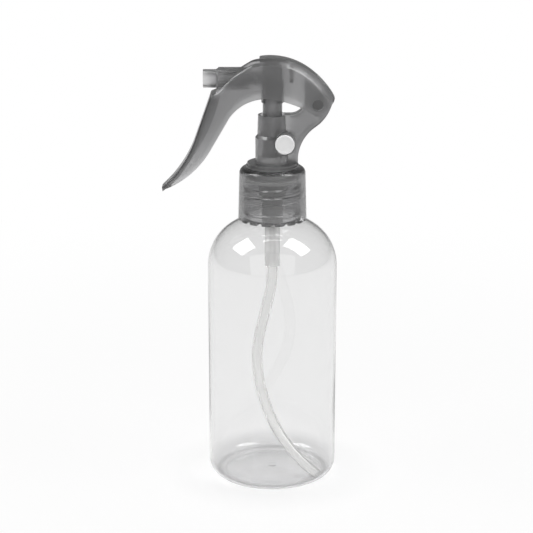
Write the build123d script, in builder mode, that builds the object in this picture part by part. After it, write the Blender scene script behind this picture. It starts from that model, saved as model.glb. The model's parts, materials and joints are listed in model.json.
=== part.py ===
from build123d import *

# Hand mister: a clear bottle with a 24/410 neck and a small pump sprayer whose hood is also its lever.
# The origin is the centre of the bottle's base, +Z is up, the nozzle points along -X, and the lock
# button faces -Y. All lengths are in millimetres and all angles in degrees.

import os
from math import cos, pi, radians, sin, sqrt

os.makedirs("parts", exist_ok=True)

# ---------------------------------------------------------------- driving dimensions

# bottle
bottle_r = 27.0
bottle_wall = 0.7
heel_r = 6.0
base_dome_height = 1.6
base_dome_mid_height = 1.28
standing_ring_width = 1.5
gate_r = 1.6
gate_height = 0.25
shoulder_turn = 52.0
neck_slope_r = 30.0
neck_slope_turn = 16.0
neck_fillet_r = 1.2
neck_r = 10.95
neck_bore_r = 9.4
neck_top = 128.8
neck_foot_step = 1.016
neck_foot_drop = 16.13
neck_bead_r = 12.0
neck_bead_drop = 13.6
neck_bead_height = 1.2
neck_bead_chamfer = 0.35

# neck thread, cut to the 24/410 finish
thread_pitch = 3.175
thread_turns = 1.5
thread_height = 1.0
thread_root_width = 2.1
thread_crest_width = 0.9
thread_start_drop = 6.7
thread_start_angle = 180.0
thread_sink = 0.25

# closure
closure_height = 22.1
closure_bottom_r = 14.2
closure_mouth_chamfer = 0.7
closure_top_r = 13.6
closure_edge_r = 2.6
closure_bore_r = 12.3
closure_roof = 1.5
closure_roof_gap = 0.2
closure_hole_r = 8.0
closure_thread_height = 0.95
closure_thread_root_width = 1.1
closure_thread_crest_width = 0.5
notch_count = 16
notch_depth = 1.3
notch_width = 2.3
notch_steep = 0.45

# pump stack in the neck
gasket_r = 11.0
gasket_bore_r = 6.3
gasket_thickness = 1.2
housing_flange_r = 10.6
housing_flange_thickness = 1.3
stem_bead_bore_r = 4.75
stem_bead_bore_depth = 7.2
housing_upper_r = 5.7
barrel_bore_r = 3.6
barrel_wall = 0.8
barrel_depth = 20.8
socket_r = 3.1
socket_drop = 1.5
socket_taper = 1.0
socket_length = 16.8
tube_plug_length = 4.8
inlet_bore_r = 1.1
valve_chamber_r = 1.6
valve_lip = 0.5
valve_chamber_height = 2.6
valve_seat_r = 0.95
ball_r = 1.25
ball_rest_gap = 0.05

# body of the sprayer
plug_clearance = 0.15
retaining_bead_r = 9.2
retaining_bead_height = 1.6
retaining_bead_chamfer = 0.5
collar_bore_r = 5.6
collar_bore_height = 8.1
guide_bore_r = 5.0
flange_gap = 0.15
flange_lower_r = 10.9
flange_lower_height = 0.7
flange_upper_r = 10.4
flange_upper_height = 1.0
body_r = 7.05
body_height = 15.7
body_shoulder_height = 1.1
tube_base_r = 6.2
tube_top_drop = 5.1
tube_top_r = 5.95
fin_half_width = 3.0
fin_wall = 1.1
fin_gap = 0.2
fin_root = 0.5
fin_foot_x = 10.45
fin_foot_height = 1.7
fin_hollow_r = 16.4
fin_hollow_turn = 55.0
fin_shoulder_r = 17.35
fin_shoulder_turn = 40.0
fin_saddle_drop = 0.1
fin_saddle_r = 5.7
fin_saddle_turn = 80.0
fin_rib_x = 18.2
fin_rib_width = 1.4
fin_rib_drop = 7.2
fin_rib_height = 3.4
arm_front = 13.0
arm_front_rise = 9.6
arm_nose_r = 5.05
arm_nose_start = 10.0
arm_nose_turn = 44.0

# hinge of the hood
hinge_x = 18.4
hinge_height = 30.1
stud_r = 2.15
stud_end = 6.55
stud_boss_r = 3.1
stud_boss_end = 5.3
stud_clearance = 0.07

# guide collar, stem and rod
collar_clearance = 0.1
collar_bore_clearance = 0.07
collar_lip = 0.8
stem_r = 4.0
stem_bead_r = 4.5
stem_bead_height = 1.6
stem_bead_gap = 0.1
stem_top_drop = 2.2
stem_bore_r = 2.4
stem_feed_r = 1.5
stem_feed_length = 11.5
outlet_chamber_height = 3.4
outlet_chamber_r = 1.6
outlet_lip_r = 1.0
outlet_lip = 0.6
rod_r = 1.7
rod_bore_r = 0.8
rod_plug_length = 4.4
rod_foot_r = 2.4
rod_foot_height = 0.8
rod_clearance = 0.03

# piston, wiper seal and spring
piston_rise = 13.3
piston_height = 4.0
piston_clearance = 0.03
piston_waist_r = 3.1
piston_lip = 1.0
wiper_height = 1.2
wiper_cup_wall = 0.7
wiper_lip_width = 0.35
spring_wire_r = 0.225
spring_mean_r = 2.85
spring_turns = 6
spring_end_gap = 0.1

# lock button
button_x = 5.0
button_height = 14.1
button_r = 3.95
button_thickness = 1.5
button_proud = 1.4
button_dish = 0.25
button_dish_r = 3.05
button_bevel = 0.3
button_travel = 2.2
pin_r = 2.2
pin_clearance = 0.06
pin_end = 6.4
pin_waist_half_length = 3.1
button_boss_r = 4.6
button_boss_end = 7.3
button_bore_clearance = 0.1
button_floor_gap = 0.05
pin_boss_r = 3.3
pin_boss_end = 6.5
stem_flat_x = 2.6
stem_catch_gap = 0.2
stem_side_gap = 0.15

# spray head and nozzle
nozzle_rise = 9.8
head_r = 4.6
head_skirt_drop = 9.7
head_floor_drop = 7.0
head_shoulder_drop = 1.0
block_front = 4.2
block_rear = 3.9
block_half_width = 3.8
block_rise = 6.3
block_rear_edge_r = 2.0
block_front_edge_r = 0.9
head_duct_r = 1.0
outlet_r = 2.7
spigot_r = 3.2
spigot_start = 10.2
spigot_end = 19.6
spigot_chamfer = 0.4
swirl_bore_r = 1.5
swirl_length = 3.2
swirl_clearance = 0.03
swirl_core_r = 0.9
swirl_recess = 0.1
swirl_slot_width = 0.5
swirl_slot_count = 3
nozzle_rear = 9.4
nozzle_grip_end = 22.0
nozzle_grip_r = 4.4
nozzle_rib_height = 0.25
nozzle_rib_width = 0.45
nozzle_rib_count = 24
nozzle_tip_start = 22.9
nozzle_tip_end = 28.2
nozzle_tip_r = 3.75
nozzle_tip_bore_r = 2.95
nozzle_tip_draft = 0.2
nozzle_face_gap = 0.3
nozzle_face = 1.6
nozzle_clearance = 0.06
orifice_r = 0.3

# hood and lever
hood_half_width = 6.75
hood_wall = 1.3
crown_wall = 1.5
lever_wall = 1.8
crown_chamfer = 2.6
crown_crease_r = 0.6
roof_chamfer = 1.5
mouth_edge_r = 2.0
lever_edge_r = 1.0
beak_reach = 6.95
beak_rise = 1.95
beak_corner_r = 5.0
crown_heading = 119.2
crown_radii = (35.6, 27.3)
crown_turns = (25.8, 44.1)
mouth_heading = 211.1
mouth_line = 9.6
mouth_radii = (22.5, 9.2)
mouth_turns = (22.4, -39.0)
lever_heading = 250.4
lever_line = 20.0
lever_r = 48.3
lever_turn = -29.3
lever_tip_reach = 0.24
lever_tip_drop = 1.85
lever_back_reach = 1.2
lever_back_rise = 1.3
lever_back_heading = 23.1
lever_back_radii = (39.4, 18.1, 44.5)
lever_back_turns = (37.0, -66.5, -23.1)
lever_back_line = 15.2
lever_back_bend_angle = -3.0
ear_reaches = (0.9, 3.3, 6.5)
ear_rises = (-4.3, -2.9, 0.9)
lever_taper_top_drop = 11.4
lever_taper_rise = 4.0
lever_tip_half_width = 4.6
lever_tip_corner_r = 3.2
lever_hollow_turn = -25.2
lever_hollow_end_reach = 3.0
lever_hollow_end_drop = 8.0
pad_x = 1.2
pad_r = 0.6
pad_gap = 0.05
guide_rib_x = 7.7
guide_rib_width = 1.4
guide_rib_drop = 0.8
crown_slot_x = 20.0
crown_slot_length = 3.6
crown_slot_half_width = 3.3
pull_angle = 15.0

# dip tube, in its own upright plane through the axis
dip_tube_r = 2.25
dip_tube_bore_r = 1.6
dip_tube_plane_angle = -34.4
dip_tube_straight = 12.5
dip_tube_reaches = (-10.5, 1.2)
dip_tube_heights = (46.3, 18.9, 8.1, 2.75)
dip_tube_wall_gaps = (13.5, 4.0)
dip_tube_bends = (35.0, 48.0, 45.0, 50.0)
tube_socket_clearance = 0.01

# shapes that only cut: how far they run past a surface, and what counts as the same place
cut_margin = 1.0
hollow_reach = 8.0
beyond = 60.0
same_place = 0.05

# ---------------------------------------------------------------- sizes worked out from those

# heights, from the neck up and down
neck_bead_bottom = neck_top - neck_bead_drop
thread_start = neck_top - thread_start_drop
gasket_top = neck_top + gasket_thickness
housing_top = gasket_top + housing_flange_thickness
closure_top = housing_top + retaining_bead_height + closure_roof_gap + closure_roof
closure_bottom = closure_top - closure_height
barrel_floor = housing_top - barrel_depth
socket_shoulder = barrel_floor - socket_drop
socket_end = socket_shoulder - socket_length
tube_stop = socket_end + tube_plug_length
bead_bore_floor = housing_top - stem_bead_bore_depth
flange_bottom = closure_top + flange_gap
flange_mid = flange_bottom + flange_lower_height
flange_top = flange_mid + flange_upper_height
collar_ledge = housing_top + collar_bore_height
body_shoulder = housing_top + body_height
tube_base = body_shoulder + body_shoulder_height
button_z = housing_top + button_height
hinge_z = housing_top + hinge_height
tube_top = hinge_z - tube_top_drop
fin_saddle_z = hinge_z - fin_saddle_drop
arm_top_front = hinge_z + arm_front_rise
nozzle_z = hinge_z + nozzle_rise
head_skirt_bottom = nozzle_z - head_skirt_drop
head_floor = nozzle_z - head_floor_drop
head_shoulder = nozzle_z - head_shoulder_drop
block_top = nozzle_z + block_rise
stem_top = nozzle_z - stem_top_drop
stem_bottom = housing_top - stem_bead_gap - stem_bead_height
rod_top = stem_bottom + rod_plug_length
piston_top = barrel_floor + piston_rise
piston_bottom = piston_top - piston_height

# the shoulder's first arc, which fills what the slope leaves between wall and neck
neck_foot_r = neck_r + neck_foot_step
slope_angle = radians(shoulder_turn + neck_slope_turn)
slope_width = neck_slope_r * (cos(radians(shoulder_turn)) - cos(slope_angle))
slope_height = neck_slope_r * (sin(slope_angle) - sin(radians(shoulder_turn)))
shoulder_r = (bottle_r - neck_foot_r - slope_width) / (1 - cos(radians(shoulder_turn)))
wall_top = neck_top - neck_foot_drop - slope_height - shoulder_r * sin(radians(shoulder_turn))
standing_ring_inner_r = bottle_r - heel_r - standing_ring_width

# closure and its thread
plug_r = closure_hole_r - plug_clearance
barrel_r = barrel_bore_r + barrel_wall
closure_thread_start = thread_start - thread_pitch / 2
closure_crest_r = closure_bore_r - closure_thread_height

# travel of the pump
pull = radians(pull_angle)
pad_rise = block_top + pad_gap + pad_r - hinge_z
pad_reach = hinge_x - pad_x
stroke = pad_reach * sin(pull) + pad_rise * (1 - cos(pull))

# valve balls on their seats
chamber_top = barrel_floor - valve_lip
seat_edge = chamber_top - valve_chamber_height
inlet_ball_z = seat_edge + sqrt(ball_r**2 - valve_seat_r**2) + ball_rest_gap
outlet_ball_z = rod_top + sqrt(ball_r**2 - rod_bore_r**2) + ball_rest_gap

# lock button
button_face = -(button_boss_end + button_proud)
button_back = button_face + button_thickness
button_bore_floor = button_back + button_travel + button_floor_gap
stem_catch_z = button_z + pin_r + stem_catch_gap
pin_waist_x = stem_r + stem_side_gap

# hood
inner_half_width = hood_half_width - hood_wall
beak = (hinge_x + beak_reach, hinge_z + beak_rise)
ear_corners = [(hinge_x + x, hinge_z + z) for x, z in zip(ear_reaches, ear_rises)]

# dip tube, from the socket to the corner of the base
dip_tube_route = (
    (0, tube_stop),
    (0, tube_stop - dip_tube_straight),
    (dip_tube_reaches[0], dip_tube_heights[0]),
    (dip_tube_reaches[1], dip_tube_heights[1]),
    (bottle_r - dip_tube_wall_gaps[0], dip_tube_heights[2]),
    (bottle_r - dip_tube_wall_gaps[1], dip_tube_heights[3]),
)


def section(corners):
    """Face in the XZ plane with these corners, ready to turn about an axis."""
    with BuildSketch(Plane.XZ) as sketch:
        with BuildLine():
            Polyline(*corners, close=True)
        make_face()
    return sketch.sketch


def ring(corners):
    """Turn a closed outline of (radius, height) corners about the bottle's axis."""
    revolve(section(corners), axis=Axis.Z)


def along_nozzle(corners, mode=Mode.ADD):
    """Turn a closed outline of (distance forward, radius) corners about the nozzle's axis."""
    face = section([(-x, nozzle_z + r) for x, r in corners])
    revolve(face, axis=Axis((0, 0, nozzle_z), (1, 0, 0)), mode=mode)


def rims(part, radius):
    """Circular edges of a part that have this radius."""
    circles = part.edges().filter_by(GeomType.CIRCLE)
    return circles.filter_by(lambda edge: abs(edge.radius - radius) < same_place)


def heading(angle):
    """Unit vector at an angle from +X."""
    return Vector(cos(radians(angle)), sin(radians(angle)))


def inward(point, angle, distance):
    """Move a point square to its heading, to the left."""
    return Vector(*point) + heading(angle + 90) * distance


def run_arc(start, angle, radius, turn):
    """Draw an arc tangent to a heading. A positive turn bends left. Return its end and new heading."""
    arc = JernArc(start=start, tangent=heading(angle), radius=radius, arc_size=turn)
    return arc @ 1, angle + turn


def run_line(start, angle, length):
    """Draw a straight run along a heading. Return its end."""
    line = Line(start, start + heading(angle) * length)
    return line @ 1


def bottle_side(inset):
    """Draw the bottle's side from heel to neck slope, moved inwards by the inset. Return its end."""
    start = Vector(bottle_r - heel_r, inset)
    end, angle = run_arc(start, 0, heel_r - inset, 90)
    end = run_line(end, angle, wall_top - heel_r)
    end, angle = run_arc(end, angle, shoulder_r - inset, shoulder_turn)
    end, angle = run_arc(end, angle, neck_slope_r - inset, neck_slope_turn)
    return end, angle


def fin_edges(inset):
    """Draw the fin's back edge, the arm's nose and the saddle in front, moved inwards by the inset.

    Return the foot of the back edge, the end of the nose and the end of the saddle."""
    foot = inward((fin_foot_x, flange_top - fin_root), 90, inset)
    edge = run_line(foot, 90, fin_foot_height + fin_root)
    edge, angle = run_arc(edge, 90, fin_hollow_r + inset, -fin_hollow_turn)
    edge, angle = run_arc(edge, angle, fin_shoulder_r - inset, fin_shoulder_turn)
    nose = CenterArc((hinge_x, hinge_z), arm_nose_r - inset, arm_nose_start, arm_nose_turn)
    Line(edge, nose @ 0)
    saddle_start = inward((arm_front, fin_saddle_z), 180 + fin_saddle_turn, inset)
    saddle, _ = run_arc(saddle_start, 180 + fin_saddle_turn, fin_saddle_r + inset, -fin_saddle_turn)
    return foot, nose @ 1, saddle


def helical_thread(root_r, crest_r, root_width, crest_width, start):
    """Sweep one thread's trapezoid along its helix, with its root sunk a little into the wall."""
    outward = 1 if crest_r > root_r else -1
    sunk_r = root_r - outward * thread_sink
    with BuildPart() as thread:
        with BuildLine():
            path = Helix(thread_pitch, thread_pitch * thread_turns, root_r, center=(0, 0, start))
        with BuildSketch(Plane(origin=path @ 0, x_dir=(1, 0, 0), z_dir=path % 0)):
            with BuildLine():
                Polyline(
                    (sunk_r - root_r, -root_width / 2),
                    (crest_r - root_r, -crest_width / 2),
                    (crest_r - root_r, crest_width / 2),
                    (sunk_r - root_r, root_width / 2),
                    close=True,
                )
            make_face()
        sweep(path=path, is_frenet=True)
    return thread.part.rotate(Axis.Z, thread_start_angle)


# ---------------------------------------------------------------- bottle

neck_thread = helical_thread(
    neck_r, neck_r + thread_height, thread_root_width, thread_crest_width, thread_start
)

with BuildPart() as bottle:
    # outer skin
    with BuildSketch(Plane.XZ):
        with BuildLine():
            Line((0, base_dome_height), (0, neck_top))
            Line((0, neck_top), (neck_r, neck_top))
            slope_end, angle = bottle_side(0)
            fillet_end, _ = run_arc(slope_end, angle, neck_fillet_r, 90 - angle)
            Line(fillet_end, (fillet_end.X, neck_bead_bottom))
            Line((fillet_end.X, neck_bead_bottom), (neck_r, neck_bead_bottom))
            Line((neck_r, neck_bead_bottom), (neck_r, neck_top))
            Line((standing_ring_inner_r, 0), (bottle_r - heel_r, 0))
            dome_mid = standing_ring_inner_r / 2
            ThreePointArc(
                (0, base_dome_height),
                (dome_mid, base_dome_mid_height),
                (standing_ring_inner_r, 0),
            )
        make_face()
    revolve(axis=Axis.Z)
    # bead under the thread
    with BuildSketch(Plane.XY.offset(neck_bead_bottom)):
        Circle(neck_bead_r)
    extrude(amount=neck_bead_height)
    chamfer(rims(bottle, neck_bead_r), length=neck_bead_chamfer)
    add(neck_thread)
    # hollow
    with BuildSketch(Plane.XZ):
        with BuildLine():
            inner_end, inner_angle = bottle_side(bottle_wall)
            rise = (inner_end.X - neck_bore_r) / -cos(radians(inner_angle))
            neck_foot = run_line(inner_end, inner_angle, rise)
            Line(neck_foot, (neck_bore_r, neck_top))
            Line((neck_bore_r, neck_top), (0, neck_top))
            Line((0, neck_top), (0, base_dome_height + bottle_wall))
            ThreePointArc(
                (0, base_dome_height + bottle_wall),
                (dome_mid, base_dome_mid_height + bottle_wall),
                (standing_ring_inner_r, bottle_wall),
            )
            Line((standing_ring_inner_r, bottle_wall), (bottle_r - heel_r, bottle_wall))
        make_face()
    revolve(axis=Axis.Z, mode=Mode.SUBTRACT)
    # gate mark under the dome
    with BuildSketch(Plane.XY.offset(base_dome_height - gate_height)):
        Circle(gate_r)
    extrude(amount=gate_height + bottle_wall / 2)
bottle.part.label = "bottle"

# ---------------------------------------------------------------- closure

closure_thread = helical_thread(
    closure_bore_r,
    closure_crest_r,
    closure_thread_root_width,
    closure_thread_crest_width,
    closure_thread_start,
)

with BuildPart() as closure:
    roof = closure_top - closure_roof
    ring(
        [
            (closure_bore_r, closure_bottom + closure_mouth_chamfer),
            (closure_bore_r + closure_mouth_chamfer, closure_bottom),
            (closure_bottom_r, closure_bottom),
            (closure_top_r, closure_top),
            (closure_hole_r, closure_top),
            (closure_hole_r, roof),
            (closure_bore_r, roof),
        ]
    )
    fillet(rims(closure, closure_top_r), radius=closure_edge_r)
    add(closure_thread)
    # ratchet notches in the lower edge
    with BuildSketch(Plane.YZ.offset(closure_bore_r - cut_margin)):
        with BuildLine():
            Polyline(
                (-notch_width / 2, closure_bottom - cut_margin),
                (-notch_width / 2, closure_bottom),
                (notch_width / 2 - notch_steep, closure_bottom + notch_depth),
                (notch_width / 2, closure_bottom),
                (notch_width / 2, closure_bottom - cut_margin),
                close=True,
            )
        make_face()
    notch_length = closure_bottom_r - closure_bore_r + 2 * cut_margin
    notch = extrude(amount=notch_length, mode=Mode.PRIVATE)
    with PolarLocations(0, notch_count):
        add(notch, mode=Mode.SUBTRACT)
closure.part.label = "closure"

# ---------------------------------------------------------------- neck gasket

with BuildPart() as neck_gasket:
    with BuildSketch(Plane.XY.offset(neck_top)):
        Circle(gasket_r)
        Circle(gasket_bore_r, mode=Mode.SUBTRACT)
    extrude(amount=gasket_thickness)
neck_gasket.part.label = "neck_gasket"

# ---------------------------------------------------------------- pump housing

with BuildPart() as pump_housing:
    ring(
        [
            (stem_bead_bore_r, housing_top),
            (housing_flange_r, housing_top),
            (housing_flange_r, gasket_top),
            (housing_upper_r, gasket_top),
            (housing_upper_r, bead_bore_floor - barrel_wall),
            (barrel_r, bead_bore_floor - 2 * barrel_wall),
            (barrel_r, socket_shoulder + socket_taper),
            (socket_r, socket_shoulder),
            (socket_r, socket_end),
            (dip_tube_r + tube_socket_clearance, socket_end),
            (dip_tube_r + tube_socket_clearance, tube_stop),
            (valve_seat_r, tube_stop),
            (valve_seat_r, seat_edge),
            (valve_chamber_r, seat_edge),
            (valve_chamber_r, chamber_top),
            (inlet_bore_r, chamber_top),
            (inlet_bore_r, barrel_floor),
            (barrel_bore_r, barrel_floor),
            (barrel_bore_r, bead_bore_floor),
            (stem_bead_bore_r, bead_bore_floor),
        ]
    )
pump_housing.part.label = "pump_housing"

# ---------------------------------------------------------------- dip tube

dip_plane = Plane(
    origin=(0, 0, 0),
    x_dir=(cos(radians(dip_tube_plane_angle)), sin(radians(dip_tube_plane_angle)), 0),
    z_dir=(sin(radians(dip_tube_plane_angle)), -cos(radians(dip_tube_plane_angle)), 0),
)

with BuildPart() as dip_tube:
    with BuildLine(dip_plane):
        route = FilletPolyline(*dip_tube_route, radius=dip_tube_bends)
    with BuildSketch(Plane.XY.offset(tube_stop)):
        Circle(dip_tube_r)
        Circle(dip_tube_bore_r, mode=Mode.SUBTRACT)
    sweep(path=route)
dip_tube.part.label = "dip_tube"
tube_section = pi * (dip_tube_r**2 - dip_tube_bore_r**2)
print("dip tube bends", dip_tube_bends, "volume / (section x length) =",
      round(dip_tube.part.volume / (tube_section * route.length), 4))

# ---------------------------------------------------------------- valve balls

with BuildPart() as inlet_ball:
    with Locations((0, 0, inlet_ball_z)):
        Sphere(ball_r)
inlet_ball.part.label = "inlet_ball"

with BuildPart() as outlet_ball:
    with Locations((0, 0, outlet_ball_z)):
        Sphere(ball_r)
outlet_ball.part.label = "outlet_ball"

# ---------------------------------------------------------------- guide collar and wiper seal

collar_r = collar_bore_r - collar_clearance
collar_inner_r = stem_r + collar_bore_clearance
collar_top = collar_ledge - collar_clearance
wiper_bottom = collar_top - collar_lip - wiper_height
wiper_r = collar_r - wiper_cup_wall

with BuildPart() as guide_collar:
    ring(
        [
            (collar_inner_r, housing_top),
            (collar_r, housing_top),
            (collar_r, collar_top),
            (wiper_r, collar_top),
            (wiper_r, wiper_bottom),
            (collar_inner_r, wiper_bottom),
        ]
    )
guide_collar.part.label = "guide_collar"

with BuildPart() as stem_wiper:
    ring(
        [
            (stem_r + rod_clearance, wiper_bottom),
            (wiper_r - rod_clearance, wiper_bottom),
            (wiper_r - rod_clearance, collar_top),
            (stem_r + wiper_lip_width, collar_top),
            (stem_r + rod_clearance, wiper_bottom + wiper_height),
        ]
    )
stem_wiper.part.label = "stem_wiper"

# ---------------------------------------------------------------- return spring

spring_bottom = barrel_floor + spring_end_gap
spring_length = piston_bottom - spring_end_gap - spring_bottom
coil_height = spring_length - 2 * spring_wire_r
spring_pitch = coil_height / spring_turns

with BuildPart() as return_spring:
    with BuildLine():
        coil = Helix(spring_pitch, coil_height, spring_mean_r, center=(0, 0, spring_bottom + spring_wire_r))
    with BuildSketch(Plane(origin=coil @ 0, z_dir=coil % 0)):
        Circle(spring_wire_r)
    sweep(path=coil, is_frenet=True)
return_spring.part.label = "return_spring"

# ---------------------------------------------------------------- piston and its rod

piston_r = barrel_bore_r - piston_clearance

with BuildPart() as piston:
    ring(
        [
            (rod_r + rod_clearance, piston_bottom),
            (piston_r, piston_bottom),
            (piston_r, piston_bottom + piston_lip),
            (piston_waist_r, piston_bottom + piston_lip),
            (piston_waist_r, piston_top - piston_lip),
            (piston_r, piston_top - piston_lip),
            (piston_r, piston_top),
            (piston_waist_r, piston_top),
            (rod_r + rod_clearance, piston_top - piston_lip),
        ]
    )
piston.part.label = "piston"

with BuildPart() as piston_rod:
    ring(
        [
            (rod_bore_r, piston_bottom - rod_foot_height),
            (rod_foot_r, piston_bottom - rod_foot_height),
            (rod_foot_r, piston_bottom),
            (rod_r, piston_bottom),
            (rod_r, rod_top),
            (rod_bore_r, rod_top),
        ]
    )
piston_rod.part.label = "piston_rod"

# ---------------------------------------------------------------- stem

chamber_start = rod_top
lip_start = chamber_start + outlet_chamber_height
feed_start = lip_start + outlet_lip
bore_start = feed_start + stem_feed_length

with BuildPart() as stem:
    ring(
        [
            (rod_r + rod_clearance, stem_bottom),
            (stem_bead_r, stem_bottom),
            (stem_bead_r, stem_bottom + stem_bead_height),
            (stem_r, stem_bottom + stem_bead_height),
            (stem_r, stem_top),
            (stem_bore_r, stem_top),
            (stem_bore_r, bore_start),
            (stem_feed_r, bore_start),
            (stem_feed_r, feed_start),
            (outlet_lip_r, feed_start),
            (outlet_lip_r, lip_start),
            (outlet_chamber_r, lip_start),
            (outlet_chamber_r, chamber_start),
            (rod_r + rod_clearance, chamber_start),
        ]
    )
    # flat that clears the lock pin, ending in the shoulder that the pin catches
    flat_start = collar_ledge
    with BuildSketch(Plane.XY.offset(flat_start)):
        with Locations((stem_flat_x + stem_r / 2, 0)):
            Rectangle(stem_r, 2 * stem_r)
    extrude(amount=stem_catch_z - flat_start, mode=Mode.SUBTRACT)
stem.part.label = "stem"

# ---------------------------------------------------------------- sprayer body

with BuildPart() as sprayer_body:
    ring(
        [
            (0, housing_top),
            (retaining_bead_r - retaining_bead_chamfer, housing_top),
            (retaining_bead_r, housing_top + retaining_bead_chamfer),
            (retaining_bead_r, housing_top + retaining_bead_height),
            (plug_r, housing_top + retaining_bead_height),
            (plug_r, flange_bottom),
            (flange_lower_r, flange_bottom),
            (flange_lower_r, flange_mid),
            (flange_upper_r, flange_mid),
            (flange_upper_r, flange_top),
            (body_r, flange_top),
            (body_r, body_shoulder),
            (tube_base_r, tube_base),
            (tube_top_r, tube_top),
            (0, tube_top),
        ]
    )
    # fin and arm outline
    with BuildSketch(Plane.XZ) as fin_outline:
        with BuildLine():
            foot, crest, saddle = fin_edges(0)
            Line(crest, (arm_front, arm_top_front))
            Line((arm_front, arm_top_front), (arm_front, fin_saddle_z))
            Polyline(saddle, (0, saddle.Y), (0, foot.Y), foot)
        make_face()
    extrude(amount=fin_half_width, both=True)
    # button boss in front, pin boss behind, hinge bosses and studs
    with BuildSketch(Plane.XZ):
        with Locations((button_x, button_z)):
            Circle(button_boss_r)
    extrude(amount=button_boss_end)
    with BuildSketch(Plane.XZ):
        with Locations((button_x, button_z)):
            Circle(pin_boss_r)
    extrude(amount=-pin_boss_end)
    with BuildSketch(Plane.XZ):
        with Locations((hinge_x, hinge_z)):
            Circle(stud_boss_r)
    extrude(amount=stud_boss_end, both=True)
    with BuildSketch(Plane.XZ):
        with Locations((hinge_x, hinge_z)):
            Circle(stud_r)
    extrude(amount=stud_end, both=True)
    # hollow of the fin, behind the tube
    with BuildSketch(Plane.XZ):
        with BuildLine():
            foot, crest, saddle = fin_edges(fin_wall)
            open_front = arm_front - cut_margin
            front_top = arm_top_front - fin_wall
            lip = inward((arm_front, fin_saddle_z), 180 + fin_saddle_turn, fin_wall)
            Polyline(crest, (open_front, front_top), (open_front, fin_saddle_z), lip)
            hollow_front = body_r + fin_gap
            Polyline(saddle, (hollow_front, saddle.Y), (hollow_front, foot.Y), foot)
        make_face()
        with Locations((button_x, button_z)):
            Circle(button_boss_r, mode=Mode.SUBTRACT)
        with Locations((fin_rib_x, hinge_z - fin_rib_drop)):
            Rectangle(fin_rib_width, fin_rib_height, mode=Mode.SUBTRACT)
    extrude(amount=fin_half_width - fin_wall, both=True, mode=Mode.SUBTRACT)
    # bores for the collar and the stem
    with BuildSketch(Plane.XY.offset(housing_top)):
        Circle(collar_bore_r)
    extrude(amount=collar_bore_height, mode=Mode.SUBTRACT)
    with BuildSketch(Plane.XY.offset(collar_ledge)):
        Circle(guide_bore_r)
    extrude(amount=tube_top - collar_ledge + cut_margin, mode=Mode.SUBTRACT)
    # bores for the button and its pin
    with BuildSketch(Plane.XZ.offset(-button_bore_floor)):
        with Locations((button_x, button_z)):
            Circle(button_r + button_bore_clearance)
    extrude(amount=button_boss_end + button_bore_floor + cut_margin, mode=Mode.SUBTRACT)
    with BuildSketch(Plane.XZ.offset(-pin_boss_end - cut_margin)):
        with Locations((button_x, button_z)):
            Circle(pin_r + pin_clearance)
    extrude(amount=pin_boss_end + button_boss_end + 2 * cut_margin, mode=Mode.SUBTRACT)
sprayer_body.part.label = "sprayer_body"

# ---------------------------------------------------------------- lock button

with BuildPart() as lock_button:
    with BuildSketch(Plane.XZ.offset(-button_back)):
        with Locations((button_x, button_z)):
            Circle(button_r)
    extrude(amount=button_thickness)
    front = lock_button.faces().sort_by(Axis.Y)[0]
    chamfer(front.edges(), length=button_bevel)
    with BuildSketch(Plane.XZ.offset(-button_face)):
        with Locations((button_x, button_z)):
            Circle(button_dish_r)
    extrude(amount=-button_dish, mode=Mode.SUBTRACT)
    with BuildSketch(Plane.XZ.offset(-pin_end)):
        with Locations((button_x, button_z)):
            Circle(pin_r)
    extrude(amount=pin_end - button_back)
    # waist that lets the stem pass
    with BuildSketch(Plane.XZ.offset(-pin_waist_half_length)):
        with Locations((pin_waist_x - pin_r, button_z)):
            Rectangle(2 * pin_r, 3 * pin_r)
    extrude(amount=2 * pin_waist_half_length, mode=Mode.SUBTRACT)
lock_button.part.label = "lock_button"

# ---------------------------------------------------------------- spray head

with BuildPart() as spray_head:
    with BuildSketch(Plane.XY.offset(head_skirt_bottom)):
        Circle(head_r)
    extrude(amount=head_shoulder - head_skirt_bottom)
    block_length = block_front + block_rear
    with BuildSketch(Plane.XY.offset(head_floor)):
        with Locations(((block_rear - block_front) / 2, 0)):
            Rectangle(block_length, 2 * block_half_width)
    extrude(amount=block_top - head_floor)
    top_edges = spray_head.faces().sort_by(Axis.Z)[-1].edges().filter_by(Axis.Y)
    fillet(top_edges.sort_by(Axis.X)[-1], radius=block_rear_edge_r)
    top_edges = spray_head.faces().sort_by(Axis.Z)[-1].edges().filter_by(Axis.Y)
    fillet(top_edges.sort_by(Axis.X)[0], radius=block_front_edge_r)
    along_nozzle(
        [
            (0, 0),
            (0, outlet_r),
            (spigot_start - spigot_chamfer, outlet_r),
            (spigot_start, spigot_r),
            (spigot_end - spigot_chamfer, spigot_r),
            (spigot_end, spigot_r - spigot_chamfer),
            (spigot_end, 0),
        ]
    )
    # socket for the stem, and the ducts
    with BuildSketch(Plane.XY.offset(head_skirt_bottom)):
        Circle(stem_r + rod_clearance)
    extrude(amount=stem_top - head_skirt_bottom, mode=Mode.SUBTRACT)
    with BuildSketch(Plane.XY.offset(stem_top)):
        Circle(stem_bore_r)
    extrude(amount=nozzle_z - stem_top, mode=Mode.SUBTRACT)
    along_nozzle(
        [
            (0, 0),
            (0, head_duct_r),
            (spigot_end - swirl_length, head_duct_r),
            (spigot_end - swirl_length, swirl_bore_r),
            (spigot_end, swirl_bore_r),
            (spigot_end, 0),
        ],
        mode=Mode.SUBTRACT,
    )
spray_head.part.label = "spray_head"

# ---------------------------------------------------------------- swirl insert and nozzle cap

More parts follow.
